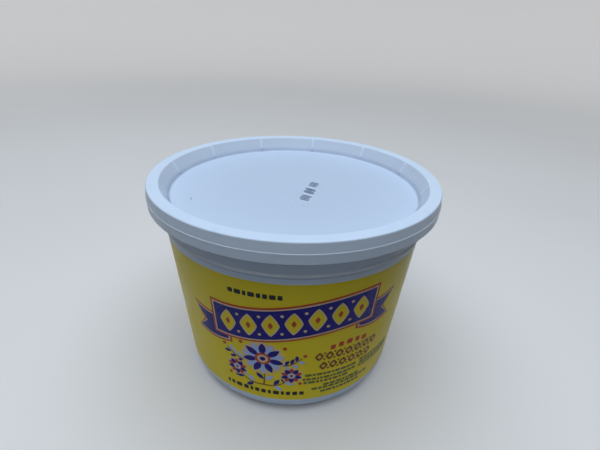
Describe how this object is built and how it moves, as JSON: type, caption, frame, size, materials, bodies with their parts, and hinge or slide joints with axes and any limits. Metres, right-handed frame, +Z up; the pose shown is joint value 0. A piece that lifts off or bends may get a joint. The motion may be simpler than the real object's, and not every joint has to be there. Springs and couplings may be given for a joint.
{
  "type": "peanut butter tub",
  "caption": "Shut round tapered plastic tub of peanut butter with a press-fit lid whose rim stands round a recessed panel, printed yellow all round.",
  "frame": {"origin": "centre of the ring that the tub stands on", "axes": "+Z up along the tub's axis; the middle of the print faces -Y"},
  "size_m": [0.172, 0.172, 0.1276],
  "materials": {
    "white_plastic": "satin",
    "yellow_print": "satin",
    "navy_print": "satin",
    "red_print": "satin",
    "cream_print": "satin",
    "brown_print": "satin",
    "black_print": "satin",
    "grey_green_print": "satin",
    "pale_blue_print": "satin",
    "date_ink": "matte"
  },
  "bodies": {
    "root": {"tub": "yellow_print", "lid": "white_plastic"}
  },
  "joints": []
}
